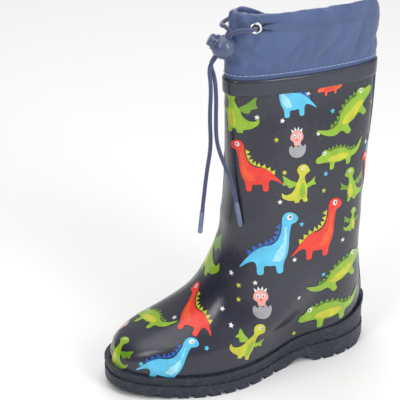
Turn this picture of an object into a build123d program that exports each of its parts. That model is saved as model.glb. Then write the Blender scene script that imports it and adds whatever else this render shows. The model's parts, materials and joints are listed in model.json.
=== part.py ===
from build123d import *
import os
from functools import cache
from math import cos, pi, radians, sin, tan

# A child's pull-on rubber rain boot for the left foot, with a drawstring collar of nylon.
# Millimetres. +X points to the toe, +Y to the outer side of the foot (the wearer's left), +Z up.
# The boot stands on Z = 0, and the origin is under the middle of the sole.

# ---- sole -----------------------------------------------------------------------------------
SOLE_LENGTH = 208.0
SOLE_HALF_WIDTH = 38.4
SIDEWALL_RECESS = 0.8
LIP_HEIGHT = 3.2
SEAT_RIM = 2.0
TREAD_DEPTH = 2.6
TREAD_GROOVE = 3.6
TREAD_PITCH = 11.5
TREAD_SPINE = 9.0
BOARD_THICKNESS = 1.6
FOOTBED_THICKNESS = 4.0

# ---- wall of the boot, from the outside in --------------------------------------------------
RUBBER = 1.5
FELT = 1.0
TEXTILE = 0.8
GLUE_GAP = 0.1
STRIP = 1.1
TRIM_THICKNESS = 1.5
TRIM_LOW, TRIM_HIGH = 216.0, 227.5
RUBBER_TOP = 226.0
BACK_STAY_WIDTH = 14.0
WALL = RUBBER + FELT + TEXTILE + 2 * GLUE_GAP

# ---- nylon collar ---------------------------------------------------------------------------
COLLAR_TOP = 272.5
NYLON = 0.6
CHANNEL = 5.2
CHANNEL_LOW, CHANNEL_HIGH = 228.5, 270.6
SEAM_HEIGHT = 230.6
STITCH_COUNT = 72
STITCH_LENGTH = 2.7
STITCH_RADIUS = 0.3

# ---- eyelets, cord and cord lock ------------------------------------------------------------
EYELET_AT = Vector(-2.6, 12.64, 264.0)
EYELET_FACING = Vector(0.256, 0.967, 0.0)
EYELET_BORE = 2.3
EYELET_BARREL = 2.65
EYELET_RIM = 4.0
WASHER_RIM = 3.8
CORD_RADIUS = 1.5
AGLET_RADIUS = 1.7
AGLET_LENGTH = 17.0
LOCK_AT = Vector(20.1, 8.5, 253.2)
LOCK_HEADING, LOCK_TILT = -25.0, 32.0
BALL_RADIUS = 8.2
PLUNGER_RADIUS = 4.4
PLUNGER_BORE = 4.7
PLUNGER_END = 10.3
PLUNGER_TRAVEL = 2.0
BALL_OFFSET = -0.9
BORE_FLOOR = -6.7
SLOT_WEB = 1.0
SLOT_WIDTH = 7.0
SLOT_HEIGHT = 3.7
SPRING_RADIUS = 2.7
SPRING_WIRE = 0.25
SPRING_TURNS = 3.5

# The two free strands, from their eyelets through the cord lock to their aglets.
LEFT_ROUTE = [
    (-1.99, 13.24, 264.0), (0.58, 16.93, 264.0), (9.0, 16.2, 265.2), (15.15, 12.68, 263.21),
    (28.98, 6.23, 238.78), (25.6, 3.2, 223.0), (26.4, 2.4, 201.0), (25.2, 2.4, 180.0),
    (27.6, 1.2, 162.0), (29.3, 0.6, 146.0), (30.7, -0.1, 129.4),
]
RIGHT_ROUTE = [
    (-1.99, -13.24, 264.0), (0.58, -16.93, 264.0), (9.4, -12.6, 262.8), (15.2, -4.8, 263.2),
    (15.7, 3.4, 265.2), (14.1, 9.42, 262.53), (26.78, 3.51, 240.14), (23.4, 4.0, 230.5),
    (22.4, 4.6, 216.0), (23.0, 5.2, 198.0), (23.0, 6.6, 183.0), (18.2, 8.4, 167.5),
    (12.2, 10.3, 152.4), (11.0, 14.0, 139.0),
]

# Breadths of the foot as shares of its half width, at even angles from the toe, round the outer
# side to the heel and back along the inner side.
FOOT = [-0.12, 0.28, 0.60, 0.86, 1.035, 0.92, 0.66, 0.70, 0.57, 0.28,
        -0.03, -0.35, -0.63, -0.74, -0.71, -0.80, -0.99, -1.035, -0.90, -0.56]
OVAL_POWER = 2.5

# Levels of the last, which gives the boot its shape: height, heel X, toe X, half width, and how
# far the outline has changed from a foot to a flattened oval.
LEVELS = [
    (-16, -101.5, 101.5, 36.0, 0.0), (-6, -101.5, 101.5, 36.0, 0.0), (4, -101.5, 101.5, 36.0, 0.0),
    (14, -101.5, 101.5, 36.0, 0.0), (24, -101.0, 99.7, 36.5, 0.0), (34, -100.5, 94.0, 36.5, 0.05),
    (39, -100.0, 84.5, 36.3, 0.1), (44, -99.4, 70.0, 36.0, 0.15), (49, -98.7, 58.0, 35.7, 0.22),
    (54, -97.8, 48.0, 35.3, 0.3), (66, -95.8, 33.6, 34.5, 0.5), (80, -93.9, 25.0, 33.5, 0.75),
    (96, -93.2, 17.8, 32.2, 0.95), (116, -94.0, 13.8, 30.5, 1.0), (137, -95.6, 11.9, 28.2, 1.0),
    (158, -97.5, 11.5, 25.6, 1.0), (178, -99.5, 12.0, 22.8, 1.0), (196, -101.0, 12.6, 20.0, 1.0),
    (213, -102.0, 13.0, 17.7, 1.0), (228, -102.4, 13.3, 17.0, 1.0), (243, -102.8, 13.3, 16.8, 1.0),
]
COLLAR_LEVELS = [
    (RUBBER_TOP + GLUE_GAP, -102.1, 13.1, 16.8, 1.0), (SEAM_HEIGHT, -102.4, 13.2, 16.8, 1.0),
    (237, -102.8, 13.2, 16.7, 1.0), (244, -103.0, 13.1, 16.6, 1.0), (251, -103.2, 12.9, 16.4, 1.0),
    (258, -103.0, 12.6, 16.3, 1.0), (264, -102.0, 12.3, 16.3, 1.0), (269, -99.4, 11.8, 16.0, 1.0),
    (COLLAR_TOP, -95.5, 11.0, 15.0, 1.0),
]

# Side curves as X, Z pairs from heel to toe.
TREAD_FACE = [
    (-120, 14), (-103, 5.5), (-91, 0), (-50, 0), (-44.5, 5.2), (-38, 5.6), (-26, 0), (46, 0),
    (66, 1.0), (84, 2.9), (96, 4.4), (120, 8.5),
]
SEAT = [(-120, 12.4), (-70, 12.6), (-44, 11.4), (-18, 7.4), (20, 7.4), (48, 7.6), (80, 9.6), (120, 13)]
FOOTBED_SEAT = [(-120, 24), (-70, 22), (-35, 16.5), (0, 11.5), (48, 11.3), (80, 13.2), (120, 17)]
TOPLINE = [
    (-120, 41), (-100, 35), (-84, 29.6), (-58, 26.2), (-45, 24.6), (-20, 18.9), (0, 17.5),
    (48, 17.1), (80, 18.4), (100, 20.6), (120, 23.5),
]
COUNTER_LINE = [(-120, 78), (-80, 74), (-50, 54), (-26, 18), (-10, -10)]
PUFF_BACK = 58.0
HALF_SPAN = 80.0


def breadth(k, foot, oval):
    along = cos(2 * pi * k / len(FOOT))
    side = 1 if 0 < k < len(FOOT) / 2 else -1
    return (1 - oval) * foot + oval * side * max(0.0, 1 - abs(along) ** OVAL_POWER) ** (1 / OVAL_POWER)


def ring(level, inset, drop):
    """Closed outline of the last at one level, drawn in by the inset and lowered by the drop."""
    z, heel, toe, half, oval = level
    middle, reach = (toe + heel) / 2, (toe - heel) / 2
    points = []
    for k, foot in enumerate(FOOT):
        angle = 2 * pi * k / len(FOOT)
        outward = Vector(half * cos(angle), reach * sin(angle)).normalized()
        edge = Vector(middle + reach * cos(angle), half * breadth(k, foot, oval), z - drop)
        points.append(edge - outward * inset)
    return Spline(*points, periodic=True)


@cache
def last(inset):
    """Solid last, smaller all round by the inset, its top surfaces lowered by as much."""
    return loft([Face(Wire([ring(level, inset, inset)])) for level in LEVELS])


def below(curve, lift=0.0):
    """Everything under a side curve that is lifted by the given amount."""
    points = [Vector(x, -HALF_SPAN, z + lift) for x, z in curve]
    if curve is TREAD_FACE:
        top = Polyline(*points)
    else:
        top = Spline(*points)
    low = -60
    sides = Polyline(points[0], (points[0].X, -HALF_SPAN, low), (points[-1].X, -HALF_SPAN, low), points[-1])
    return extrude(make_face([*top.edges(), *sides.edges()]), amount=2 * HALF_SPAN, dir=(0, 1, 0))


def block(x0, x1, z0, z1, half_y=HALF_SPAN):
    return Pos((x0 + x1) / 2, 0, (z0 + z1) / 2) * Box(x1 - x0, 2 * half_y, z1 - z0)


def layer(outer, inner, low=0.0, high=RUBBER_TOP):
    """Wall layer round the last between two heights."""
    return (last(outer) & block(-150, 150, low, high)) - last(inner)


def rod(radius, height):
    """Cylinder that stands on its own origin."""
    return Cylinder(radius, height, align=(Align.CENTER, Align.CENTER, Align.MIN))


def sole_prism(inset, height=60.0):
    level = (0.0, -SOLE_LENGTH / 2, SOLE_LENGTH / 2, SOLE_HALF_WIDTH, 0.0)
    return extrude(Face(Wire([ring(level, inset, 0.0)])), amount=height, dir=(0, 0, 1))


# ---- sole -----------------------------------------------------------------------------------
def make_outsole():
    sole = (sole_prism(0) & below(SEAT)) - below(TREAD_FACE)
    heel_grooves = [-91 + TREAD_PITCH * i for i in range(1, 4)]
    fore_grooves = [-26 + TREAD_PITCH * i for i in range(1, 11)]
    for x in heel_grooves + fore_grooves:
        rise = max(0.0, 0.055 * (x - 46))
        for side in (-1, 1):
            groove = Box(TREAD_GROOVE, HALF_SPAN, 2 * (TREAD_DEPTH + rise))
            sole -= Pos(x, side * (TREAD_SPINE + HALF_SPAN) / 2, 0) * groove
    return sole


def make_foxing():
    """Sidewall strip round the foot of the upper, recessed between its seat rim and its top lip."""
    band = (sole_prism(0) & below(TOPLINE)) - below(SEAT)
    skin = sole_prism(0) - sole_prism(SIDEWALL_RECESS)
    recess = (skin & below(TOPLINE, -LIP_HEIGHT)) - below(SEAT, SEAT_RIM)
    return band - last(-GLUE_GAP) - recess


def make_midsole():
    return (last(WALL + GLUE_GAP) & below(FOOTBED_SEAT)) - below(SEAT)


def make_insole_board():
    low = GLUE_GAP
    high = low + BOARD_THICKNESS
    return (last(WALL + GLUE_GAP) & below(FOOTBED_SEAT, high)) - below(FOOTBED_SEAT, low)


def make_footbed():
    low = BOARD_THICKNESS + 2 * GLUE_GAP
    high = low + FOOTBED_THICKNESS
    return (last(WALL + 4 * GLUE_GAP) & below(FOOTBED_SEAT, high)) - below(FOOTBED_SEAT, low)


# ---- wall -----------------------------------------------------------------------------------
def standing(outer, inner):
    """Wall layer that stands on the outsole and ends at the top edge of the rubber."""
    return layer(outer, inner) - below(SEAT, GLUE_GAP)


def make_upper():
    return standing(0, RUBBER)


def middle_layer():
    outer = RUBBER + GLUE_GAP
    return standing(outer, outer + FELT)


def make_heel_counter(middle):
    return middle & below(COUNTER_LINE)


def make_toe_puff(middle):
    return middle & block(PUFF_BACK, 150, 0, 80)


def make_interlining(middle):
    front = block(PUFF_BACK - GLUE_GAP, 150, 0, 80)
    return middle - below(COUNTER_LINE, 2 * GLUE_GAP) - front


def make_lining():
    return standing(WALL - TEXTILE, WALL)


def make_back_stay():
    wrap = layer(-STRIP, -GLUE_GAP, 20, TRIM_LOW - GLUE_GAP) - below(TOPLINE, GLUE_GAP)
    return wrap & block(-150, -60, 0, RUBBER_TOP, BACK_STAY_WIDTH / 2)


def make_top_trim():
    return layer(-TRIM_THICKNESS, -GLUE_GAP, TRIM_LOW, TRIM_HIGH)


# ---- collar ---------------------------------------------------------------------------------
def collar_loft(depth):
    """Solid inside the collar's outer face, drawn in by depth(height)."""
    return loft([Face(Wire([ring(level, depth(level[0]), 0.0)])) for level in COLLAR_LEVELS])


def inner_depth(z):
    """How far the inner layer of the collar lies inside the outer one: it makes room for the cord."""
    share = min(1.0, max(0.0, (z - SEAM_HEIGHT) / (244 - SEAM_HEIGHT)))
    return WALL + share * (2 * NYLON + CHANNEL - WALL)


def make_collar():
    outer = collar_loft(lambda z: 0.0)
    collar = outer - collar_loft(inner_depth)
    channel = collar_loft(lambda z: NYLON) - collar_loft(lambda z: inner_depth(z) - NYLON)
    collar -= channel & block(-150, 150, CHANNEL_LOW, CHANNEL_HIGH)
    for place in eyelet_places():
        collar -= place * Pos(0, 0, -CHANNEL / 2 + 1) * Cylinder(EYELET_BARREL + GLUE_GAP, CHANNEL)
    return collar


def make_collar_stitching():
    """Row of separate stitches that sews the collar down, just above the rubber trim."""
    seam = ring(COLLAR_LEVELS[1], -(STITCH_RADIUS + GLUE_GAP), 0.0)
    stitches = []
    for i in range(STITCH_COUNT):
        at = (i + 0.5) / STITCH_COUNT
        run = Plane(origin=seam @ at, z_dir=seam % at)
        stitches.append(run * Cylinder(STITCH_RADIUS, STITCH_LENGTH))
    return Compound(children=stitches)


# ---- eyelets --------------------------------------------------------------------------------
def eyelet_places():
    """Frames on the collar's outer face, Z outward: the left eyelet and its mirror image."""
    places = []
    for side in (1, -1):
        at = Vector(EYELET_AT.X, side * EYELET_AT.Y, EYELET_AT.Z)
        out = Vector(EYELET_FACING.X, side * EYELET_FACING.Y, 0)
        places.append(Location(Plane(origin=at, x_dir=(0, 0, 1), z_dir=out)))
    return places


def turned(profile):
    """Solid turned about Z from a closed profile of radius, height pairs."""
    edges = Polyline(*[(r, 0, z) for r, z in profile], close=True)
    return revolve(make_face(edges), axis=Axis.Z)


def make_eyelet():
    face, rim_top, curl = 0.12, 0.8, -1.6
    profile = [
        (EYELET_BORE, curl), (EYELET_BARREL + 0.6, curl), (EYELET_BARREL + 0.6, curl + 0.25),
        (EYELET_BARREL, curl + 0.25), (EYELET_BARREL, face), (EYELET_RIM, face),
        (EYELET_RIM, face + 0.25), (EYELET_RIM - 0.5, rim_top - 0.1), (EYELET_RIM - 1.0, rim_top),
        (EYELET_BORE + 0.4, rim_top - 0.1), (EYELET_BORE, rim_top - 0.4),
    ]
    return turned(profile)


def make_eyelet_washer():
    low, high = -1.25, -0.95
    inner = EYELET_BARREL + GLUE_GAP
    return turned([(inner, low), (WASHER_RIM, low), (WASHER_RIM, high), (inner, high)])


# ---- cord -----------------------------------------------------------------------------------
def cord_tube(name, points):
    """Cord along straight runs joined by the largest tangent arcs that the runs allow."""
    points = [Vector(p) for p in points]
    runs = [b - a for a, b in zip(points, points[1:])]
    radii = []
    for one, two in zip(runs, runs[1:]):
        half_turn = radians(one.get_angle(two)) / 2
        radii.append(0.45 * min(one.length, two.length) / tan(half_turn))
    path = FilletPolyline(*points, radius=radii)
    start = Plane(origin=path @ 0, z_dir=path % 0)
    tube = sweep(start * Circle(CORD_RADIUS), path=path)
    share = tube.volume / (pi * CORD_RADIUS**2 * path.length)
    print(name, "length", round(path.length, 1), "volume share", round(share, 4),
          "radii", [round(r, 1) for r in radii])
    return tube


def make_drawcord_loop():
    """The cord inside the collar's hem, from one eyelet round the heel to the other."""
    z = EYELET_AT.Z
    heel, toe, half = next(level[1:4] for level in COLLAR_LEVELS if level[0] == z)
    inset = NYLON + CHANNEL / 2
    middle, reach, depth = (heel + toe) / 2, (toe - heel) / 2 - inset, half - inset
    start = Vector(LEFT_ROUTE[0])
    into = (start - Vector(LEFT_ROUTE[1])).normalized()
    side = [start, start + into * 4.5]
    for share in (0.38, 0.0, -0.4, -0.72, -0.9, -0.982):
        y = depth * (1 - abs(share) ** OVAL_POWER) ** (1 / OVAL_POWER)
        side.append(Vector(middle + reach * share, y, z))
    back = [Vector(p.X, -p.Y, p.Z) for p in reversed(side)]
    return cord_tube("drawcord_loop", side + back)


def make_aglet(route):
    start = Vector(route[-1])
    along = start - Vector(route[-2])
    sleeve = rod(AGLET_RADIUS, AGLET_LENGTH)
    sleeve = chamfer(sleeve.edges().group_by(Axis.Z)[-1], 0.5)
    return Plane(origin=start, z_dir=along) * sleeve


# ---- cord lock ------------------------------------------------------------------------------
def lock_place():
    """Frame of the cord lock: Z along its plunger, X level, Y up along the cords."""
    heading, tilt = radians(LOCK_HEADING), radians(LOCK_TILT)
    plunger = Vector(cos(tilt) * cos(heading), cos(tilt) * sin(heading), sin(tilt))
    level = Vector(-sin(heading), cos(heading), 0)
    return Location(Plane(origin=LOCK_AT, x_dir=level, z_dir=plunger))


def slot(low, high):
    """Flat passage for the two cords side by side, between two heights along the plunger."""
    return Pos(0, 0, (low + high) / 2) * Box(SLOT_WIDTH, 4 * BALL_RADIUS, high - low)


def make_cord_lock_body():
    lip_low, lip_high = 5.4, 6.6
    ball = Pos(0, 0, BALL_OFFSET) * Sphere(BALL_RADIUS)
    lip = Pos(0, 0, lip_low) * rod(PLUNGER_BORE + 0.9, lip_high - lip_low)
    bore = Pos(0, 0, BORE_FLOOR) * rod(PLUNGER_BORE, 2 * BALL_RADIUS)
    return ball + lip - bore - slot(-SLOT_HEIGHT / 2, SLOT_HEIGHT / 2)


def make_cord_lock_plunger():
    low = -SLOT_HEIGHT / 2 - SLOT_WEB
    post = Pos(0, 0, low) * rod(PLUNGER_RADIUS, PLUNGER_END - low)
    post = chamfer(post.edges().group_by(Axis.Z)[-1], 0.6)
    return post - slot(-SLOT_HEIGHT / 2, SLOT_HEIGHT / 2 + PLUNGER_TRAVEL)


def make_cord_lock_spring():
    """Coil between the floor of the bore and the underside of the plunger."""
    room = -SLOT_HEIGHT / 2 - SLOT_WEB - BORE_FLOOR
    height = room - 2 * SPRING_WIRE - GLUE_GAP
    coil = Helix(pitch=height / SPRING_TURNS, height=height, radius=SPRING_RADIUS)
    wire = sweep(Plane(origin=coil @ 0, z_dir=coil % 0) * Circle(SPRING_WIRE), path=coil)
    return Pos(0, 0, BORE_FLOOR + SPRING_WIRE + GLUE_GAP / 2) * wire


def build():
    middle = middle_layer()
    left, right = eyelet_places()
    lock = lock_place()
    return {
        "outsole": make_outsole(),
        "foxing": make_foxing(),
        "midsole": make_midsole(),
        "insole_board": make_insole_board(),
        "footbed": make_footbed(),
        "upper": make_upper(),
        "heel_counter": make_heel_counter(middle),
        "toe_puff": make_toe_puff(middle),
        "interlining": make_interlining(middle),
        "lining": make_lining(),
        "back_stay": make_back_stay(),
        "top_trim": make_top_trim(),
        "collar": make_collar(),
        "collar_stitching": make_collar_stitching(),
        "eyelet_left": left * make_eyelet(),
        "eyelet_right": right * make_eyelet(),
        "eyelet_washer_left": left * make_eyelet_washer(),
        "eyelet_washer_right": right * make_eyelet_washer(),
        "drawcord_loop": make_drawcord_loop(),
        "drawcord_strand_left": cord_tube("drawcord_strand_left", LEFT_ROUTE),
        "drawcord_strand_right": cord_tube("drawcord_strand_right", RIGHT_ROUTE),
        "aglet_left": make_aglet(LEFT_ROUTE),
        "aglet_right": make_aglet(RIGHT_ROUTE),
        "cord_lock_body": lock * make_cord_lock_body(),
        "cord_lock_plunger": lock * make_cord_lock_plunger(),
        "cord_lock_spring": lock * make_cord_lock_spring(),
    }


os.makedirs("parts", exist_ok=True)
for name, shape in build().items():
    export_step(shape, f"parts/{name}.step")
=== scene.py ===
import json
import math
import random

import bpy
import numpy as np
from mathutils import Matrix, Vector, geometry
from mathutils import noise as perlin
from mathutils.bvhtree import BVHTree


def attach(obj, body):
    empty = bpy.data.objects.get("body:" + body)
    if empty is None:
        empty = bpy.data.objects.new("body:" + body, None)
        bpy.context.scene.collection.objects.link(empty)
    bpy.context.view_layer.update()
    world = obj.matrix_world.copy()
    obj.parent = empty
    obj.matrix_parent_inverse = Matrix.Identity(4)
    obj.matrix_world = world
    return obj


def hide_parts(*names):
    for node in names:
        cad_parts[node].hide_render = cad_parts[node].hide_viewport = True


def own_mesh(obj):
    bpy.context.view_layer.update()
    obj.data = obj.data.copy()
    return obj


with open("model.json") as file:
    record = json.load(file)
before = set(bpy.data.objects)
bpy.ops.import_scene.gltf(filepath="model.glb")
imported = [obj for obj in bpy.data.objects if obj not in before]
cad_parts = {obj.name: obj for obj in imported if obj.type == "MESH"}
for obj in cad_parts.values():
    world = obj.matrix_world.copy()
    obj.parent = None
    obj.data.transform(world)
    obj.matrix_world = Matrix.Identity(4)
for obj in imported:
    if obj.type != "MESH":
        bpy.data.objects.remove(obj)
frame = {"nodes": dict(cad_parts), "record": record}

# A child's rain boot in metres. +X points to the toe, +Y to the outer side of the foot, +Z up.
MM = 0.001
NODES = frame["nodes"]
RAY_START = 0.25  # metres from the axis, outside every surface
random.seed(7)


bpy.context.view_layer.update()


def mm(*values):
    return Vector(values) * MM


# ---- materials ------------------------------------------------------------------------------
def new_material(name, base, roughness, **sockets):
    """Principled material with constant values on its own sockets."""
    material = bpy.data.materials.new(name)
    material.use_nodes = True
    shader = material.node_tree.nodes["Principled BSDF"]
    shader.inputs["Base Color"].default_value = (*base, 1.0)
    shader.inputs["Roughness"].default_value = roughness
    for socket, value in sockets.items():
        shader.inputs[socket.replace("_", " ")].default_value = value
    return material


def node(material, kind, **settings):
    made = material.node_tree.nodes.new(kind)
    for key, value in settings.items():
        if key in made.inputs:
            made.inputs[key].default_value = value
        else:
            setattr(made, key, value)
    return made


def join(material, source, target):
    material.node_tree.links.new(source, target)


def place(material, source="Object"):
    return node(material, "ShaderNodeTexCoord").outputs[source]


def noise(material, scale, detail):
    made = node(material, "ShaderNodeTexNoise", Scale=scale, Detail=detail)
    join(material, place(material), made.inputs["Vector"])
    return made.outputs["Fac"]


def ramp(material, factor, stops):
    """Colour ramp from (position, colour or grey) stops."""
    made = node(material, "ShaderNodeValToRGB")
    made.color_ramp.elements.remove(made.color_ramp.elements[0])
    for i, (at, value) in enumerate(stops):
        colour = (*value, 1.0) if isinstance(value, tuple) else (value, value, value, 1.0)
        element = made.color_ramp.elements[0] if i == 0 else made.color_ramp.elements.new(at)
        element.position = at
        element.color = colour
    join(material, factor, made.inputs["Fac"])
    return made.outputs["Color"]


def bump(material, height, distance, strength=1.0, below=None):
    made = node(material, "ShaderNodeBump", Strength=strength, Distance=distance)
    join(material, height, made.inputs["Height"])
    if below:
        join(material, below, made.inputs["Normal"])
    return made.outputs["Normal"]


def finish_with(material, colour=None, roughness=None, normal=None):
    shader = material.node_tree.nodes["Principled BSDF"]
    for source, socket in ((colour, "Base Color"), (roughness, "Roughness"), (normal, "Normal")):
        if source:
            join(material, source, shader.inputs[socket])
    return material


def rubber_material(name, dark, light, rough):
    """Smooth vulcanised rubber: faint cloudiness, handling smudges and a slight orange peel."""
    made = new_material(name, dark, rough, Coat_Weight=0.2, Coat_Roughness=0.16)
    colour = ramp(made, noise(made, 28, 4), [(0.35, dark), (0.7, light)])
    smudge = ramp(made, noise(made, 55, 6), [(0.3, rough - 0.06), (0.75, rough + 0.1)])
    waves = bump(made, noise(made, 60, 2), 0.0006, 0.25)
    grain = bump(made, noise(made, 1500, 2), 0.00005, 0.3, waves)
    return finish_with(made, colour, smudge, grain)


def pebbled_material():
    """Matt moulded rubber with a leather-like pebble and dusty scuffs on its high spots."""
    made = new_material("pebbled_rubber", (0.018, 0.022, 0.034), 0.6, Specular_IOR_Level=0.4)
    pebbles = node(made, "ShaderNodeTexVoronoi", Scale=520.0, feature="SMOOTH_F1")
    join(made, place(made), pebbles.inputs["Vector"])
    coarse = noise(made, 170, 5)
    scuffs = ramp(made, coarse, [(0.5, (0.019, 0.023, 0.037)), (0.78, (0.044, 0.05, 0.068))])
    relief = bump(made, pebbles.outputs["Distance"], 0.0012, 1.0)
    relief = bump(made, coarse, 0.0004, 0.2, relief)
    gloss = ramp(made, coarse, [(0.3, 0.38), (0.8, 0.6)])
    return finish_with(made, scuffs, gloss, relief)


def woven_material(name, dark, light, thread, rough, sheen):
    """Plain weave that follows the cloth's own UV, in millimetres, with mottled colour."""
    made = new_material(name, dark, rough, Sheen_Weight=sheen, Sheen_Roughness=0.45)
    cloth = place(made, "UV")
    colour = ramp(made, noise(made, 45, 5), [(0.3, dark), (0.72, light)])
    normal = None
    for direction in ("X", "Y"):
        threads = node(made, "ShaderNodeTexWave", Scale=thread, Distortion=0.6, Detail=1.0,
                       bands_direction=direction)
        join(made, cloth, threads.inputs["Vector"])
        normal = bump(made, threads.outputs["Fac"], 0.00007, 0.55, normal)
    normal = bump(made, noise(made, 260, 4), 0.00035, 0.35, normal)
    return finish_with(made, colour, None, normal)


def textile_material(name, dark, light, scale):
    """Brushed knit or felt: soft fibres in every direction."""
    made = new_material(name, dark, 0.9, Sheen_Weight=0.4)
    colour = ramp(made, noise(made, scale, 6), [(0.3, dark), (0.7, light)])
    return finish_with(made, colour, None, bump(made, noise(made, scale * 3, 4), 0.0003, 0.6))


def cord_material():
    """Braided polyester: the relief is in the mesh; the colour is painted shade in the braid's valleys and
    a painted highlight on its crowns, with fine random flecks.
    """
    made = new_material("cord_braid", (0.03, 0.04, 0.13), 0.62, Sheen_Weight=0.5)
    # Painted shade and highlight: the attribute is the braid's height, low in its valleys and high on its
    # crowns.
    height = node(made, "ShaderNodeAttribute", attribute_name="braid_shade").outputs["Fac"]
    mixed = node(made, "ShaderNodeMath", operation="MULTIPLY_ADD")
    join(made, noise(made, 900, 2), mixed.inputs[0])
    mixed.inputs[1].default_value = 0.35
    join(made, height, mixed.inputs[2])
    # Painted shade in the valleys, running up to a painted highlight on the crowns.
    colour = ramp(made, mixed.outputs["Value"], [(0.3, (0.008, 0.01, 0.036)), (0.75, (0.036, 0.045, 0.14)),
                                                 (1.2, (0.075, 0.09, 0.24))])
    fibres = bump(made, noise(made, 3800, 2), 0.00006, 0.5)
    return finish_with(made, colour, None, fibres)


def metal_material(name, base, rough):
    made = new_material(name, base, rough, Metallic=1.0)
    scratches = ramp(made, noise(made, 700, 5), [(0.35, rough - 0.06), (0.7, rough + 0.14)])
    return finish_with(made, None, scratches, bump(made, noise(made, 420, 3), 0.00008, 0.25))


def plastic_material(name, base, light, rough, **sockets):
    made = new_material(name, base, rough, **sockets)
    colour = ramp(made, noise(made, 130, 4), [(0.35, base), (0.75, light)])
    marks = ramp(made, noise(made, 420, 5), [(0.35, rough - 0.05), (0.75, rough + 0.12)])
    return finish_with(made, colour, marks, bump(made, noise(made, 650, 2), 0.00005, 0.25))


def ink_material(name, base):
    """Printed ink: a little brighter and duller in patches, under the same clear gloss."""
    made = new_material("ink_" + name, base, 0.33, Coat_Weight=0.35, Coat_Roughness=0.16)
    deep = tuple(c * 0.78 for c in base)
    colour = ramp(made, noise(made, 150, 3), [(0.3, deep), (0.65, base)])
    return finish_with(made, colour, None, bump(made, noise(made, 60, 2), 0.0006, 0.25))


MATERIALS = {
    "printed_rubber": rubber_material("boot_rubber", (0.018, 0.018, 0.031), (0.025, 0.0255, 0.042),
                                      0.26),
    "trim_rubber": rubber_material("band_rubber", (0.02, 0.023, 0.038), (0.029, 0.033, 0.053), 0.24),
    "tread_rubber": pebbled_material(),
    "nylon": woven_material("collar_nylon", (0.049, 0.083, 0.195), (0.07, 0.111, 0.25), 1.1, 0.5, 0.3),
    "lining_textile": textile_material("lining_knit", (0.14, 0.16, 0.22), (0.22, 0.24, 0.3), 500),
    "felt": textile_material("felt", (0.35, 0.35, 0.37), (0.5, 0.5, 0.52), 400),
    "board": textile_material("fibre_board", (0.42, 0.33, 0.22), (0.56, 0.45, 0.32), 300),
    "foam": textile_material("foam", (0.3, 0.32, 0.38), (0.42, 0.44, 0.5), 700),
    "thread": textile_material("seam_thread", (0.2, 0.3, 0.55), (0.38, 0.5, 0.78), 1500),
    "nickel": metal_material("nickel_plate", (0.82, 0.82, 0.8), 0.2),
    "spring_steel": metal_material("spring_wire", (0.6, 0.6, 0.6), 0.3),
    "cord": cord_material(),
    "clear_sleeve": plastic_material("clear_sleeve", (0.16, 0.2, 0.34), (0.3, 0.35, 0.5), 0.18,
                                     Transmission_Weight=0.35, IOR=1.45),
    "lock_plastic": plastic_material("lock_plastic", (0.056, 0.078, 0.155), (0.07, 0.096, 0.188), 0.3,
                                     Coat_Weight=0.3, Coat_Roughness=0.2),
}

INKS = {
    "green": (0.26, 0.46, 0.012), "leaf": (0.14, 0.3, 0.012), "yellow": (0.56, 0.56, 0.02),
    "red": (0.8, 0.03, 0.012), "orange": (0.85, 0.09, 0.012), "sky": (0.09, 0.53, 0.8),
    "ice": (0.35, 0.74, 0.88), "blue": (0.012, 0.11, 0.48), "pink": (0.83, 0.36, 0.32),
    "white": (0.8, 0.8, 0.8),
    "grey": (0.34, 0.34, 0.36), "black": (0.01, 0.01, 0.014),
}
for ink, base in INKS.items():
    MATERIALS[ink] = ink_material(ink, base)


def dress_cad_nodes():
    """Gives each CAD node the material of its slot in the record."""
    for part in frame["record"]["subparts"]:
        mesh = NODES[part["node"]].data
        mesh.materials.clear()
        mesh.materials.append(MATERIALS[part["material_slot"]])
        for face in mesh.polygons:
            face.material_index = 0
            face.use_smooth = True


# ---- mesh helpers ---------------------------------------------------------------------------
def new_object(name, verts, faces, material, uvs=None):
    mesh = bpy.data.meshes.new(name)
    mesh.from_pydata([tuple(v) for v in verts], [], [tuple(f) for f in faces])
    mesh.materials.append(material)
    for face in mesh.polygons:
        face.use_smooth = True
    if uvs is not None:
        layer = mesh.uv_layers.new(name="UVMap")
        for loop in mesh.loops:
            layer.data[loop.index].uv = uvs[loop.vertex_index]
    made = bpy.data.objects.new(name, mesh)
    bpy.context.scene.collection.objects.link(made)
    return made


def grid_faces(rows, columns):
    """Quads over rows of points, where each row closes on itself."""
    return [(r * columns + c, r * columns + (c + 1) % columns, (r + 1) * columns + (c + 1) % columns,
             (r + 1) * columns + c) for r in range(rows - 1) for c in range(columns)]


def keep(piece, body, slot, *replaced):
    """Puts a piece on its body and hides the CAD nodes that it stands for; the slot argument is not used.
    """
    if replaced:
        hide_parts(*replaced)
    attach(piece, body)


def surface_of(name):
    """Search tree over one CAD node's surface."""
    mesh = NODES[name].data
    return BVHTree.FromPolygons([v.co for v in mesh.vertices], [p.vertices for p in mesh.polygons])


def outer_surface():
    """Search tree over the outside of the upper alone, which is further from the lining."""
    inside_reach = 1.75 * MM
    lining = surface_of("lining")
    mesh = NODES["upper"].data
    outside = [p.vertices for p in mesh.polygons if lining.find_nearest(p.center)[3] > inside_reach]
    return BVHTree.FromPolygons([v.co for v in mesh.vertices], outside)


# ---- print: generic animals and stars -------------------------------------------------------
# Each motif is a list of (ink, outline) in a box about 100 high; an outline is closed.
MOTIF_HEIGHT, MOTIF_CENTRE = 100.0, (50, 48)
STAR_POINTS, STAR_WAIST, STAR_SIZE, STAR_TURN = 5, 0.45, 4.2, 20
INK_LIFT, INK_STEP, INK_GRID = 0.14, 0.02, 2.2  # millimetres


def circle(x, y, radius, count=14):
    angles = [2 * math.pi * i / count for i in range(count)]
    return [(x + radius * math.cos(angle), y + radius * math.sin(angle)) for angle in angles]


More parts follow.
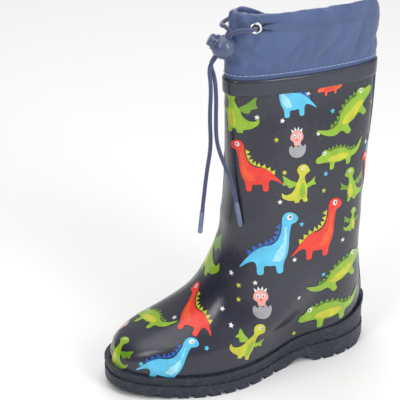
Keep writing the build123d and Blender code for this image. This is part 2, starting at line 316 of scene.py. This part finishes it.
def star(radius):
    points = []
    for i in range(2 * STAR_POINTS):
        reach = radius if i % 2 == 0 else radius * STAR_WAIST
        angle = math.pi / 2 + math.pi * i / STAR_POINTS
        points.append((reach * math.cos(angle), reach * math.sin(angle)))
    return points


def spikes(path, size):
    """Small triangles along a line of points, such as the plates on a back."""
    made = []
    for (x0, y0), (x1, y1) in zip(path, path[1:]):
        dx, dy = x1 - x0, y1 - y0
        length = math.hypot(dx, dy)
        tip = ((x0 + x1) / 2 - dy / length * size, (y0 + y1) / 2 + dx / length * size)
        made.append([(x0, y0), (x1, y1), tip])
    return made


def eye(x, y, size=4.5):
    return [("white", circle(x, y, size)), ("black", circle(x - size * 0.2, y, size * 0.45, 10))]


def long_neck(body, plates, belly):
    outline = [(8, 84), (11, 91), (18, 96), (27, 97), (33, 92), (35, 84), (35, 76), (38, 64), (44, 53),
               (54, 47), (66, 45), (78, 39), (90, 28), (104, 11), (90, 19), (81, 21), (77, 15), (76, 1),
               (67, 1), (65, 13), (56, 13), (47, 12), (45, 1), (36, 1), (34, 15), (28, 28), (25, 42),
               (24, 56), (22, 68), (19, 77), (13, 79)]
    back = [(37, 80), (38, 70), (41, 61), (47, 53), (55, 49), (64, 47), (73, 43), (81, 37), (89, 30)]
    shade = [(29, 42), (28, 60), (27, 74), (31, 74), (32, 60), (36, 46), (46, 34), (52, 20), (40, 18),
             (32, 28)]
    return [*[(plates, s) for s in spikes(back, 8)], (body, outline), (belly, shade), *eye(22, 89)]


def crawler(body, plates, belly):
    outline = [(0, 31), (4, 38), (12, 41), (18, 49), (26, 52), (33, 47), (42, 50), (56, 51), (70, 48),
               (82, 41), (94, 40), (106, 46), (120, 60), (114, 42), (102, 29), (88, 25), (84, 12), (75, 12),
               (73, 23), (60, 21), (46, 21), (42, 9), (33, 9), (33, 23), (24, 25), (12, 25), (4, 26)]
    back = [(30, 48), (38, 50), (47, 52), (56, 52), (65, 50), (74, 46), (83, 42), (92, 41), (101, 44)]
    shade = [(30, 27), (44, 24), (60, 24), (76, 27), (80, 34), (64, 38), (46, 37), (32, 34)]
    return [*[(plates, s) for s in spikes(back, 7)], (body, outline), (belly, shade), *eye(21, 45, 4)]


def upright(body, fins, belly):
    outline = [(22, 84), (26, 92), (36, 98), (48, 96), (55, 88), (54, 79), (49, 70), (53, 60), (60, 48),
               (65, 36), (76, 27), (90, 25), (98, 32), (97, 19), (82, 10), (66, 7), (64, 1), (53, 1),
               (50, 8), (43, 8), (40, 1), (29, 1), (31, 14), (29, 30), (31, 45), (35, 58), (34, 68),
               (27, 74), (20, 78)]
    wing = [(56, 52), (74, 62), (94, 76), (92, 62), (96, 52), (84, 50), (78, 42), (66, 44)]
    arm = [(30, 46), (18, 52), (6, 62), (8, 50), (4, 42), (16, 40), (28, 36)]
    shade = [(36, 12), (34, 30), (37, 48), (44, 50), (50, 36), (50, 18), (44, 11)]
    return [(fins, wing), (fins, arm), (body, outline), (belly, shade), *eye(38, 88)]


def hatchling():
    shell = [(18, 34), (26, 42), (34, 34), (42, 43), (50, 34), (58, 43), (66, 34), (74, 40), (76, 26),
             (70, 10), (58, 1), (44, 0), (28, 6), (19, 18)]
    head = [(24, 62), (26, 76), (36, 86), (48, 88), (60, 84), (68, 74), (68, 60), (60, 52), (56, 40),
            (38, 40), (34, 52)]
    crest = [(30, 82), (38, 87), (47, 89), (56, 87), (64, 81)]
    return [*[("white", s) for s in spikes(crest, 12)], ("pink", head), ("grey", shell),
            ("white", circle(38, 70, 6)), ("white", circle(54, 70, 6)),
            ("black", circle(38, 69, 2.6)), ("black", circle(54, 69, 2.6)), ("red", circle(46, 58, 3))]


def single_star(ink):
    return [(ink, star(MOTIF_HEIGHT / 2))]


MOTIFS = {
    "red_neck": long_neck("red", "yellow", "orange"),
    "sky_neck": long_neck("sky", "blue", "ice"),
    "green_neck": long_neck("green", "leaf", "yellow"),
    "green_crawler": crawler("green", "leaf", "yellow"),
    "orange_crawler": crawler("orange", "yellow", "red"),
    "yellow_upright": upright("yellow", "green", "green"),
    "green_upright": upright("green", "leaf", "yellow"),
    "hatchling": hatchling(),
    "white_star": single_star("white"),
    "sky_star": single_star("sky"),
    "yellow_star": single_star("yellow"),
}


def rounded(outline, steps=3):
    """The outline as a closed Catmull-Rom curve; triangles and stars keep their corners."""
    count = len(outline)
    if count in (3, 2 * STAR_POINTS):
        return outline
    points = []
    for i in range(count):
        a, b, c, d = (Vector(outline[(i + k) % count]) for k in (-1, 0, 1, 2))
        for s in range(steps):
            t = s / steps
            points.append(0.5 * (2 * b + (c - a) * t + (2 * a - 5 * b + 4 * c - d) * t * t
                                 + (3 * b - a - 3 * c + d) * t**3))
    return [(p.x, p.y) for p in points]


def filled(outline, grid):
    """Triangles inside a flat outline, with inner points a grid step apart, so that it can bend."""
    xs, ys = [p[0] for p in outline], [p[1] for p in outline]
    verts = [Vector(p) for p in outline]
    nx, ny = int((max(xs) - min(xs)) / grid), int((max(ys) - min(ys)) / grid)
    for i in range(nx):
        for j in range(ny):
            shift = 0.25 * (j % 2)
            verts.append(Vector((min(xs) + (i + 0.5 + shift) * grid, min(ys) + (j + 0.5) * grid)))
    made = geometry.delaunay_2d_cdt(verts, [], [list(range(len(outline)))], 1, 1e-4)
    return made[0], made[2]


class Leg:
    """Wraps flat print round the leg: across is the distance round it from the outer side towards
    the toe, up is the height, both in millimetres."""

    LOW, STEP, ROWS = 34.0, 4.0, 48
    SIDES = 180
    AXIS_X = -40.0

    def __init__(self, tree):
        self.rows = []
        for i in range(self.ROWS):
            z = self.LOW + i * self.STEP
            ring = []
            for k in range(self.SIDES + 1):
                angle = math.pi / 2 - 2 * math.pi * (k / self.SIDES - 0.5)
                out = Vector((math.cos(angle), math.sin(angle), 0))
                ring.append(tree.ray_cast(mm(self.AXIS_X, 0, z) + out * RAY_START, -out)[0])
            lengths = np.cumsum([0] + [(b - a).length for a, b in zip(ring, ring[1:])]) / MM
            self.rows.append((ring, lengths - lengths[self.SIDES // 2]))

    def on_row(self, row, across):
        ring, lengths = self.rows[row]
        k = int(np.clip(np.searchsorted(lengths, across), 1, self.SIDES))
        share = (across - lengths[k - 1]) / max(1e-6, lengths[k] - lengths[k - 1])
        return ring[k - 1].lerp(ring[k], min(1.0, max(0.0, share)))

    def point(self, across, up):
        row = (up - self.LOW) / self.STEP
        i = int(np.clip(math.floor(row), 0, len(self.rows) - 2))
        return self.on_row(i, across).lerp(self.on_row(i + 1, across), row - i)


def lay_on(tree, point, lift):
    """The nearest surface point, lifted along its normal."""
    at, normal, _, _ = tree.find_nearest(point)
    return at + normal * lift


class Print:
    """Collects printed shapes by ink, so that each ink is one piece."""

    def __init__(self, tree):
        self.tree, self.leg = tree, Leg(surface_of("upper"))
        self.verts, self.faces = {}, {}

    def add(self, motif, size, turn, flip, to_surface):
        """Draws a motif; to_surface turns flat millimetres into a point near the surface."""
        lift = INK_LIFT
        scale = size / MOTIF_HEIGHT
        centre = (0, 0) if motif.endswith("star") else MOTIF_CENTRE
        cos, sin = math.cos(turn), math.sin(turn)
        for ink, outline in MOTIFS[motif]:
            flat = []
            for x, y in rounded(outline):
                x, y = (x - centre[0]) * scale, (y - centre[1]) * scale
                x = -x if flip else x
                flat.append((x * cos - y * sin, x * sin + y * cos))
            verts, faces = filled(flat, INK_GRID)
            start = len(self.verts.setdefault(ink, []))
            self.verts[ink] += [lay_on(self.tree, to_surface(v.x, v.y), lift * MM) for v in verts]
            self.faces.setdefault(ink, []).extend([[start + i for i in f] for f in faces])
            lift += INK_STEP

    def on_leg(self, motif, across, up, size, turn=0.0, flip=False):
        self.add(motif, size, math.radians(turn), flip,
                 lambda x, y: self.leg.point(across - x, up + y))

    def on_foot(self, motif, x, y, z, size, turn=0.0, flip=False):
        """Around the surface point nearest to x, y, z; the print's top is up, or heelward on top."""
        at, out, _, _ = self.tree.find_nearest(mm(x, y, z))
        heelward = Vector((-0.35, 0, 1))
        up = (heelward - out * out.dot(heelward)).normalized()
        right = up.cross(out)
        self.add(motif, size, math.radians(turn), flip, lambda u, v: at + (right * u + up * v) * MM)

    def build(self):
        for ink, verts in self.verts.items():
            piece = new_object("print_" + ink, verts, self.faces[ink], MATERIALS[ink])
            keep(piece, "boot", "printed_rubber")


# Print on the leg: motif, distance round it, height, size, turn in degrees, and mirrored or not.
LEG_PRINT = [
    ("green_upright", 52, 206, 34, 0, 0), ("sky_neck", 12, 216, 36, 0, 0),
    ("orange_crawler", -17, 217, 18, 0, 0), ("green_crawler", -34, 201, 44, 38, 1),
    ("hatchling", 8, 180, 22, 0, 0), ("green_crawler", -22, 170, 34, 0, 0),
    ("red_neck", 41, 166, 38, 0, 0), ("yellow_upright", 8, 150, 28, 0, 1),
    ("green_upright", -37, 141, 26, 0, 0), ("sky_neck", 29, 108, 46, 0, 1),
    ("red_neck", -8, 113, 44, 0, 1), ("green_upright", -37, 113, 18, 0, 1),
    ("green_crawler", -28, 80, 46, 30, 1), ("hatchling", 39, 65, 24, 0, 0),
    ("green_crawler", -18, 47, 46, 4, 0), ("green_upright", 91, 96, 42, 0, 0),
    ("green_neck", 84, 150, 36, 0, 1), ("red_neck", 96, 196, 34, 0, 1),
    ("sky_neck", -72, 176, 40, 0, 1), ("red_neck", -60, 146, 30, 0, 0),
    ("yellow_upright", -72, 112, 32, 0, 0), ("hatchling", -64, 58, 24, 0, 0),
    ("yellow_upright", -96, 205, 30, 0, 1), ("red_neck", -110, 160, 40, 0, 0),
    ("green_crawler", -100, 128, 36, 0, 1), ("sky_neck", -118, 92, 44, 0, 0),
    ("hatchling", -98, 70, 24, 0, 0), ("green_crawler", -102, 42, 40, 0, 1),
    ("yellow_upright", 114, 128, 30, 0, 0), ("hatchling", 112, 176, 24, 0, 0),
    ("sky_neck", 118, 214, 34, 0, 1), ("red_neck", 130, 78, 34, 0, 1),
]
# Print on the foot: motif, nearest point, size, turn in degrees, and mirrored or not.
FOOT_PRINT = [
    ("yellow_upright", (10, 36, 38), 30, -8, 1), ("red_neck", (40, 10, 58), 40, 12, 0),
    ("sky_neck", (68, 27, 32), 42, 4, 1), ("green_upright", (96, 0, 30), 28, 0, 0),
    ("green_crawler", (62, -16, 47), 38, 20, 0), ("hatchling", (84, -22, 30), 22, 0, 0),
    ("yellow_upright", (48, -34, 34), 30, 0, 0), ("red_neck", (14, -31, 46), 38, 0, 1),
    ("green_crawler", (-30, -26, 34), 34, 0, 1),
]
# Stars on the leg: ink, distance round it, and height.
LEG_STARS = [
    ("white", 37, 201), ("white", 19, 197), ("sky", -20, 198), ("white", -1, 213), ("white", -8, 184),
    ("yellow", 24, 184), ("yellow", 19, 160), ("sky", -13, 154), ("yellow", -11, 142), ("white", 23, 139),
    ("sky", 7, 120), ("sky", 22, 112), ("white", 13, 94), ("yellow", 52, 122), ("white", 60, 86),
    ("sky", -13, 75), ("white", -28, 100), ("yellow", 55, 78), ("white", 43, 80), ("yellow", 56, 68),
    ("white", 9, 62), ("white", 64, 51), ("white", -52, 168), ("sky", -50, 130), ("yellow", -58, 196),
    ("white", -84, 150), ("sky", -90, 98), ("white", -76, 82), ("yellow", -116, 186), ("white", -128, 132),
    ("sky", -86, 190), ("white", 76, 182), ("yellow", 104, 150), ("sky", 74, 130), ("white", 112, 108),
    ("yellow", -132, 62), ("white", -82, 40), ("sky", 100, 214),
]
# Stars on the foot: ink and nearest point.
FOOT_STARS = [
    ("sky", (42, 33, 38)), ("white", (56, 4, 54)), ("yellow", (-33, 27, 27)), ("white", (26, 24, 62)),
    ("sky", (88, 20, 28)), ("white", (30, -22, 54)), ("yellow", (74, -32, 26)), ("white", (-2, -33, 30)),
]


def make_print():
    sheet = Print(outer_surface())
    for motif, across, up, size, turn, flip in LEG_PRINT:
        sheet.on_leg(motif, across, up, size, turn, flip)
    for motif, at, size, turn, flip in FOOT_PRINT:
        sheet.on_foot(motif, *at, size, turn, flip)
    for ink, across, up in LEG_STARS:
        sheet.on_leg(ink + "_star", across, up, STAR_SIZE, random.uniform(-STAR_TURN, STAR_TURN))
    for ink, at in FOOT_STARS:
        sheet.on_foot(ink + "_star", *at, STAR_SIZE, random.uniform(-STAR_TURN, STAR_TURN))
    sheet.build()


# ---- cords ----------------------------------------------------------------------------------
CORD_DIAMETER = 3.0
ROUTE_STEP = 0.3
# Points of the two strands in millimetres, from the eyelet through the cord lock to the tip.
LEFT_ROUTE = [
    (-1.99, 13.24, 264.0), (0.58, 16.93, 264.0), (9.0, 16.2, 265.2), (15.15, 12.68, 263.21),
    (16.7, 11.95, 260.4), (25.4, 7.9, 245.1), (28.98, 6.23, 238.78), (25.6, 3.2, 223.0),
    (26.4, 2.4, 201.0), (25.2, 2.4, 180.0), (27.6, 1.2, 162.0), (29.3, 0.6, 146.0), (30.7, -0.1, 129.4),
]
RIGHT_ROUTE = [
    (-1.99, -13.24, 264.0), (0.58, -16.93, 264.0), (9.4, -12.6, 262.8), (15.2, -4.8, 263.2),
    (15.7, 3.4, 265.2), (14.1, 9.42, 262.53), (15.2, 8.9, 260.6), (24.0, 4.8, 245.1),
    (26.78, 3.51, 240.14), (23.4, 4.0, 230.5), (22.4, 4.6, 216.0), (23.0, 5.2, 198.0),
    (23.0, 6.6, 183.0), (18.2, 8.4, 167.5), (12.2, 10.3, 152.4), (11.0, 14.0, 139.0),
]


def along_route(route):
    """Evenly spaced points in metres on the NURBS curve of a route, and their distances along it."""
    curve = bpy.data.curves.new("route", "CURVE")
    curve.dimensions, curve.resolution_u = "3D", 16
    spline = curve.splines.new("NURBS")
    spline.points.add(len(route) - 1)
    for point, at in zip(spline.points, route):
        point.co = (*mm(*at), 1.0)
    spline.order_u = 3
    spline.use_endpoint_u = True
    holder = bpy.data.objects.new("route", curve)
    bpy.context.scene.collection.objects.link(holder)
    mesh = bpy.data.meshes.new_from_object(holder.evaluated_get(bpy.context.evaluated_depsgraph_get()))
    line = np.array([v.co[:] for v in mesh.vertices])
    bpy.data.objects.remove(holder)
    lengths = np.concatenate([[0], np.cumsum(np.linalg.norm(np.diff(line, axis=0), axis=1))])
    steps = np.linspace(0, lengths[-1], int(lengths[-1] / (ROUTE_STEP * MM)))
    return np.stack([np.interp(steps, lengths, line[:, k]) for k in range(3)], axis=1), steps


def tube(name, centres, radius_at, sides, material):
    """Closed tube along a line; radius_at(distance index, side index) gives each point's radius."""
    verts, faces = [], []
    frame_x = Vector((0.3, 0.2, 1)).cross(Vector(centres[1] - centres[0])).normalized()
    for i, centre in enumerate(centres):
        before, after = centres[max(0, i - 1)], centres[min(len(centres) - 1, i + 1)]
        along = Vector(after - before).normalized()
        frame_x = (frame_x - along * frame_x.dot(along)).normalized()
        frame_y = along.cross(frame_x)
        for k in range(sides):
            angle = 2 * math.pi * k / sides
            out = frame_x * math.cos(angle) + frame_y * math.sin(angle)
            verts.append(Vector(centre) + out * radius_at(i, k))
    for i in range(len(centres) - 1):
        for k in range(sides):
            a, b = i * sides + k, i * sides + (k + 1) % sides
            faces.append((a, b, b + sides, a + sides))
    for ring, flip in ((0, True), (len(centres) - 1, False)):
        hub = len(verts)
        verts.append(Vector(centres[ring]))
        for k in range(sides):
            a, b = ring * sides + k, ring * sides + (k + 1) % sides
            faces.append((hub, b, a) if flip else (hub, a, b))
    return new_object(name, verts, faces, material)


def braided(name, route):
    """Round braid: bumps where the yarns cross, staggered from row to row."""
    centres, steps = along_route(route)
    sides, yarns, pitch = 42, 6, 1.9 * MM
    radius = CORD_DIAMETER / 2 * MM
    core, swell = 0.93, 0.085

    def height(i, k):
        return math.cos(2 * math.pi * yarns * k / sides) * math.cos(2 * math.pi * steps[i] / pitch)

    piece = tube(name, centres, lambda i, k: radius * (core + swell * height(i, k)), sides,
                 MATERIALS["cord"])
    # Painted shade and highlight: the attribute stores the braid's height, low in the valleys and high on
    # the crowns, for the cord's colour.
    braid_shade = piece.data.attributes.new("braid_shade", "FLOAT", "POINT")
    for i in range(len(centres)):
        for k in range(sides):
            braid_shade.data[i * sides + k].value = 0.5 + 0.5 * height(i, k)
    return piece, centres, steps[-1]


def make_cords():
    for side, route in (("left", LEFT_ROUTE), ("right", RIGHT_ROUTE)):
        piece, centres, length = braided("drawcord_" + side, route)
        keep(piece, "boot", "cord", "drawcord_strand_" + side)


# ---- cord lock spring -----------------------------------------------------------------------
LOCK_AT = (20.1, 8.5, 253.2)
PLUNGER_AXIS = Vector((0.7686, -0.3584, 0.5299))


def make_spring():
    """Coil between the floor of the bore and the plunger."""
    turns, radius, wire, floor, top, count = 3.5, 2.6, 0.22, -6.4, -3.15, 140
    side = Vector((0.4226, 0.9063, 0))
    other = PLUNGER_AXIS.cross(side)
    centres = []
    for i in range(count):
        share = i / (count - 1)
        angle = 2 * math.pi * turns * share
        height = floor + (top - floor) * share
        out = side * math.cos(angle) + other * math.sin(angle)
        at = Vector(LOCK_AT) + PLUNGER_AXIS * height + out * radius
        centres.append(np.array(at[:]) * MM)
    piece = tube("lock_spring", centres, lambda i, k: wire * MM, 10, MATERIALS["spring_steel"])
    keep(piece, "cord_lock", "spring_steel", "cord_lock_spring")
    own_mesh(piece)


# ---- collar ---------------------------------------------------------------------------------
COLLAR_COLUMNS = 180
OUTER_ROWS, INNER_ROWS = 22, 13
CORD_ROWS = (17, 28)  # the rows outside and inside the cord in the hem
SEAM, HEM = 227.0, 272.6
HEM_RING, TOP_RAY = 271.0, 272.3  # heights at which the CAD collar is still met by a ray
CLOTH_SCALE, CLOTH_FRAMES = 20.0, 30
SEAM_ROWS, EYELET_HOLD = 3, 4.6
CORD_BLOCK = 0.0021  # radius in metres of the cord that the cloth rests on


def smooth(low, high, value):
    t = min(1.0, max(0.0, (value - low) / (high - low)))
    return t * t * (3 - 2 * t)


def collar_ring(tree, z, count):
    """Points on an outer face at one height, evenly spaced, in millimetres."""
    rays, axis_x = 360, -45
    loop = []
    for k in range(rays):
        angle = 2 * math.pi * k / rays
        out = Vector((math.cos(angle), math.sin(angle), 0))
        start = mm(axis_x, 0, min(z, TOP_RAY))
        loop.append(tree.ray_cast(start + out * RAY_START, -out)[0] / MM)
    loop = np.array([p[:] for p in loop] + [loop[0][:]])
    lengths = np.concatenate([[0], np.cumsum(np.linalg.norm(np.diff(loop, axis=0), axis=1))])
    at = np.arange(count) / count * lengths[-1]
    ring = np.stack([np.interp(at, lengths, loop[:, i]) for i in range(3)], axis=1)
    ring[:, 2] = z
    return ring


def lean(x, y, z):
    """How far the inner side of the mouth leans over to the outer side."""
    rise = smooth(236, 272, z)
    behind = smooth(4, 34, -x) * smooth(-4, 14, 103 + x)
    return 21.0 * rise * behind * smooth(0, 1, 0.5 - y / 30)


def sag(x, y, z):
    """How far the inner side of the mouth hangs below the outer side."""
    return 7.0 * smooth(250, 272, z) * smooth(-2, 26, -x) * smooth(0, 1, 0.4 - y / 24)


EYELETS = [(-2.6, side * 12.64, 264.0) for side in (1, -1)]
# Pulled creases of the nylon: both ends as (x, z) and the depth, in millimetres.
CREASES = [((-21, 240), (-39, 254), 1.8), ((-83, 253), (-78, 237), 1.7), ((-86, 253), (-97, 242), 1.4),
           ((2, 246), (-13, 237), 1.3), ((-47, 238), (-64, 248), 1.0)]
CREASE_WIDTH = 1.9
# Pleats of the hem between the eyelets: place in y, and width.
PLEATS = [(-9.5, 3.2), (-2.0, 2.6), (5.5, 3.4)]


def crease_depth(x, z):
    """How far the pulled creases press the nylon in at one place."""
    depth = 0.0
    for (x0, z0), (x1, z1), deepest in CREASES:
        along_x, along_z = x1 - x0, z1 - z0
        share = ((x - x0) * along_x + (z - z0) * along_z) / (along_x ** 2 + along_z ** 2)
        inside = min(1.0, max(0.0, share))
        away = math.hypot(x - x0 - inside * along_x, z - z0 - inside * along_z)
        depth += deepest * math.exp(-(away / CREASE_WIDTH) ** 2) * (0.4 + 0.6 * math.sin(math.pi * inside))
    return depth


def ripple(x, y, z):
    """Unevenness from which the folds start: soft creases, puckers that spread from the eyelets
    and pleats in the hem between them, in millimetres inward."""
    point = Vector((x * 0.06, y * 0.09, z * 0.045))
    inward = 1.3 * perlin.noise(point) + 0.5 * perlin.noise(point * 2.7) + crease_depth(x, z)
    reach, depth, count, turned = 24, 0.9, 5, 0.8
    for eyelet in EYELETS:
        across = math.copysign(math.hypot(x - eyelet[0], y - eyelet[1]), x - eyelet[0])
        up = z - eyelet[2]
        far = math.hypot(across, up)
        if far < reach and y * eyelet[1] > -20:
            wave = math.cos(count * math.atan2(up, across) + turned)
            inward += depth * smooth(4.5, 8, far) * smooth(0, 16, reach - far) * wave
    for pleat, width in PLEATS:
        if x > 2:
            inward += 3.2 * smooth(254, 271, z) * math.exp(-((y - pleat) / width) ** 2)
    return inward


def collar_rest():
    """Rows of points: up the outer layer, over the hem and down the inner layer."""
    tree = surface_of("collar")
    rows = []
    for i in range(OUTER_ROWS):
        z = SEAM + (HEM - 1.4 - SEAM) * i / (OUTER_ROWS - 1)
        rows.append((collar_ring(tree, z, COLLAR_COLUMNS), 0.0, z))
    for inset, z in ((0.6, HEM - 0.4), (2.2, HEM), (3.8, HEM - 0.4)):
        rows.append((collar_ring(tree, HEM_RING, COLLAR_COLUMNS), inset, z))
    for i in range(INNER_ROWS):
        z = HEM - 1.6 - 3.5 * i
        rows.append((collar_ring(tree, z, COLLAR_COLUMNS), 4.8 - 0.09 * i, z))
    grid = []
    for ring, inset, z in rows:
        ahead, behind = np.roll(ring, -1, axis=0), np.roll(ring, 1, axis=0)
        along = ahead - behind
        along /= np.linalg.norm(along, axis=1)[:, None]
        inward = np.stack([-along[:, 1], along[:, 0], np.zeros(len(ring))], axis=1)
        moved = ring + inward * inset
        moved[:, 2] = z
        for k, point in enumerate(moved):
            x, y, height = point
            point += inward[k] * ripple(x, y, height) * smooth(SEAM + 4, SEAM + 12, height)
            point[1] += lean(x, y, height)
            point[2] -= sag(x, y, height)
        grid.append(moved)
    return np.array(grid)


def simulate_collar(grid):
    """Lets the over-long nylon settle into folds, held at the seam, the eyelets and the cord."""
    rows, columns, _ = grid.shape
    verts = grid.reshape(-1, 3) * MM * CLOTH_SCALE
    cloth = new_object("collar", verts, grid_faces(rows, columns), MATERIALS["nylon"])
    pins = cloth.vertex_groups.new(name="pins")
    slack = cloth.vertex_groups.new(name="slack")
    eyelets = [mm(*eyelet) * CLOTH_SCALE for eyelet in EYELETS]
    for i, vertex in enumerate(cloth.data.vertices):
        row, at = i // columns, vertex.co
        near = min((at - eyelet).length for eyelet in eyelets) / MM / CLOTH_SCALE
        if row < SEAM_ROWS or row == rows - 1 or (row < OUTER_ROWS and near < EYELET_HOLD):
            pins.add([i], 1.0, "REPLACE")
        front = smooth(-20, 6, at.x / MM / CLOTH_SCALE)
        slack.add([i], min(1.0, 0.35 + 0.65 * front), "REPLACE")
    settings = cloth.modifiers.new("cloth", "CLOTH").settings
    settings.quality = 5
    settings.mass = 0.2
    settings.air_damping = 2.0
    settings.tension_stiffness = settings.compression_stiffness = 25
    settings.shear_stiffness = 12
    settings.bending_stiffness = 0.15
    settings.tension_damping = settings.compression_damping = 8
    settings.vertex_group_mass = "pins"
    settings.vertex_group_shrink = "slack"
    settings.shrink_min, settings.shrink_max = -0.03, -0.13
    settings.use_pressure = True
    settings.uniform_pressure_force = 0.08
    cloth.modifiers["cloth"].collision_settings.use_collision = True
    cloth.modifiers["cloth"].collision_settings.distance_min = 0.012
    settings.effector_weights.gravity = 0.0
    blocks = []
    for route in (LEFT_ROUTE, RIGHT_ROUTE):
        centres, _ = along_route(route[:7])
        blocks.append(tube("block", centres[16::12] * CLOTH_SCALE, lambda i, k: CORD_BLOCK * CLOTH_SCALE,
                           10, MATERIALS["cord"]))
    for block in blocks:
        block.modifiers.new("collision", "COLLISION")
        block.collision.thickness_outer = 0.008
    scene = bpy.context.scene
    scene.frame_start, scene.frame_end = 1, CLOTH_FRAMES
    cloth.modifiers["cloth"].point_cache.frame_end = CLOTH_FRAMES
    for frame_number in range(1, CLOTH_FRAMES + 1):
        scene.frame_set(frame_number)
    settled = cloth.evaluated_get(bpy.context.evaluated_depsgraph_get()).to_mesh()
    out = np.array([v.co[:] for v in settled.vertices]) / CLOTH_SCALE / MM
    for made in [cloth, *blocks]:
        bpy.data.objects.remove(made)
    scene.frame_set(1)
    return out.reshape(rows, columns, 3)


def make_collar():
    """The nylon of the collar, with its weave along UVs in millimetres of cloth."""
    girth = 250
    grid = simulate_collar(collar_rest())
    rows, columns, _ = grid.shape
    across = np.linspace(0, girth, columns, endpoint=False)
    down = np.concatenate([[0], np.cumsum(np.linalg.norm(np.diff(grid, axis=0), axis=2).mean(axis=1))])
    uvs = [(across[c], down[r]) for r in range(rows) for c in range(columns)]
    piece = new_object("collar_cloth", grid.reshape(-1, 3) * MM, grid_faces(rows, columns),
                       MATERIALS["nylon"], uvs=uvs)
    refine = piece.modifiers.new("refine", "SUBSURF")
    refine.levels = refine.render_levels = 1
    keep(piece, "boot", "nylon", "collar")
    return grid


def make_hidden_cord(grid):
    """The cord inside the hem, from eyelet to eyelet round the heel, between the two layers.
    Where the layers are drawn together it is pressed thin."""
    clearance, thinnest = 0.45, 0.2
    rows, count, _ = grid.shape
    cloth = BVHTree.FromPolygons([tuple(point) for point in grid.reshape(-1, 3)], grid_faces(rows, count))
    outer, inner = [grid[row] for row in CORD_ROWS]
    middle = (outer + inner) / 2
    first, last_one = [int(np.argmin(np.linalg.norm(outer - np.array(eyelet), axis=1)))
                       for eyelet in EYELETS]
    columns = [(first + k) % count for k in range(3, (last_one - first) % count - 2, 3)]
    centres, _ = along_route([LEFT_ROUTE[0], *[tuple(middle[c]) for c in columns], RIGHT_ROUTE[0]])
    room = [cloth.find_nearest(Vector(centre / MM))[3] - clearance for centre in centres]
    radii = [MM * min(CORD_DIAMETER / 2, max(thinnest, gap)) for gap in room]
    piece = tube("drawcord_in_hem", centres, lambda i, k: radii[i], 14, MATERIALS["cord"])
    keep(piece, "boot", "cord", "drawcord_loop")


def make_trim():
    """Rubber band over the top edge of the leg: rounded edges, and not quite straight."""
    tree = surface_of("upper")
    columns, top_ring = 240, 225.8
    # Height and distance from the upper, from the lower edge round the face to the top edge.
    profile = [(216.2, 0.05), (216.0, 0.7), (216.3, 1.15), (217.0, 1.45), (219.0, 1.55), (222.0, 1.6),
               (225.2, 1.55), (226.6, 1.5), (227.2, 1.25), (227.5, 0.85), (227.5, 0.2), (226.9, -0.6)]
    verts = []
    for z, out in profile:
        ring = collar_ring(tree, min(z, top_ring), columns)
        along = np.roll(ring, -1, axis=0) - np.roll(ring, 1, axis=0)
        along /= np.linalg.norm(along, axis=1)[:, None]
        for k, point in enumerate(ring):
            wave = 0.25 * perlin.noise(Vector(point) * 0.05)
            thick = out + (0.12 * perlin.noise(Vector(point) * 0.11) if out > 1 else 0)
            verts.append(mm(point[0] + along[k][1] * thick, point[1] - along[k][0] * thick, z + wave))
    piece = new_object("rubber_band", verts, grid_faces(len(profile), columns), MATERIALS["trim_rubber"])
    keep(piece, "boot", "trim_rubber", "top_trim")


# ---- camera, floor and light ----------------------------------------------------------------
def make_camera():
    """The camera stands in front of the outer side and looks down on the boot."""
    azimuth, elevation, distance = math.radians(155.96), math.radians(25.7), 0.95
    back = Vector((math.sin(azimuth) * math.cos(elevation), -math.cos(azimuth) * math.cos(elevation),
                   math.sin(elevation)))
    camera = bpy.data.objects.new("camera", bpy.data.cameras.new("camera"))
    bpy.context.scene.collection.objects.link(camera)
    camera.location = mm(32.5, 0, 138.8) + back * distance
    camera.rotation_euler = back.to_track_quat("Z", "Y").to_euler()
    camera.data.sensor_width = 36.0
    camera.data.lens = 121.75
    camera.data.clip_start, camera.data.clip_end = 0.05, 50.0
    bpy.context.scene.camera = camera


def area_light(name, towards, distance, size, energy):
    """White softbox that shines at the middle of the leg from one direction."""
    light = bpy.data.lights.new(name, "AREA")
    light.shape = "RECTANGLE"
    light.size, light.size_y = size
    light.energy = energy
    lamp = bpy.data.objects.new(name, light)
    bpy.context.scene.collection.objects.link(lamp)
    out = Vector(towards).normalized()
    lamp.location = mm(0, 0, 120) + out * distance
    lamp.rotation_euler = out.to_track_quat("Z", "Y").to_euler()


def make_studio():
    """Pale floor, a world that is brighter behind the heel, and soft lights."""
    reach = 6
    corners = [(-reach, -reach, 0), (reach, -reach, 0), (reach, reach, 0), (-reach, reach, 0)]
    floor = new_object("floor", corners, [(0, 1, 2, 3)], new_material("floor_paper", (0.9, 0.9, 0.9), 0.9))
    world = bpy.data.worlds.new("studio")
    world.use_nodes = True
    towards = node(world, "ShaderNodeTexCoord").outputs["Generated"]
    split = node(world, "ShaderNodeSeparateXYZ")
    join(world, towards, split.inputs["Vector"])
    shade = ramp(world, split.outputs["X"], [(0.0, 0.8), (0.35, 0.7), (0.65, 0.15), (1.0, 0.04)])
    join(world, shade, world.node_tree.nodes["Background"].inputs["Color"])
    world.node_tree.nodes["Background"].inputs["Strength"].default_value = 0.66
    bpy.context.scene.world = world
    bpy.context.scene.view_settings.view_transform = "Standard"
    area_light("key", (-0.35, 1.0, 0.55), 1.3, (0.4, 0.9), 7)
    area_light("vamp_softbox", (0.7, 0.4, 0.59), 1.3, (0.35, 0.8), 5)
    area_light("fill", (-0.9, 0.75, 0.45), 1.5, (0.8, 0.9), 2)
    area_light("top", (0.1, -0.1, 1.0), 1.6, (1.6, 1.6), 14.5)
    area_light("back", (-0.4, -0.9, 0.6), 1.6, (0.8, 0.8), 3)


dress_cad_nodes()
make_print()
make_cords()
make_spring()
make_hidden_cord(make_collar())
make_trim()
make_camera()
make_studio()
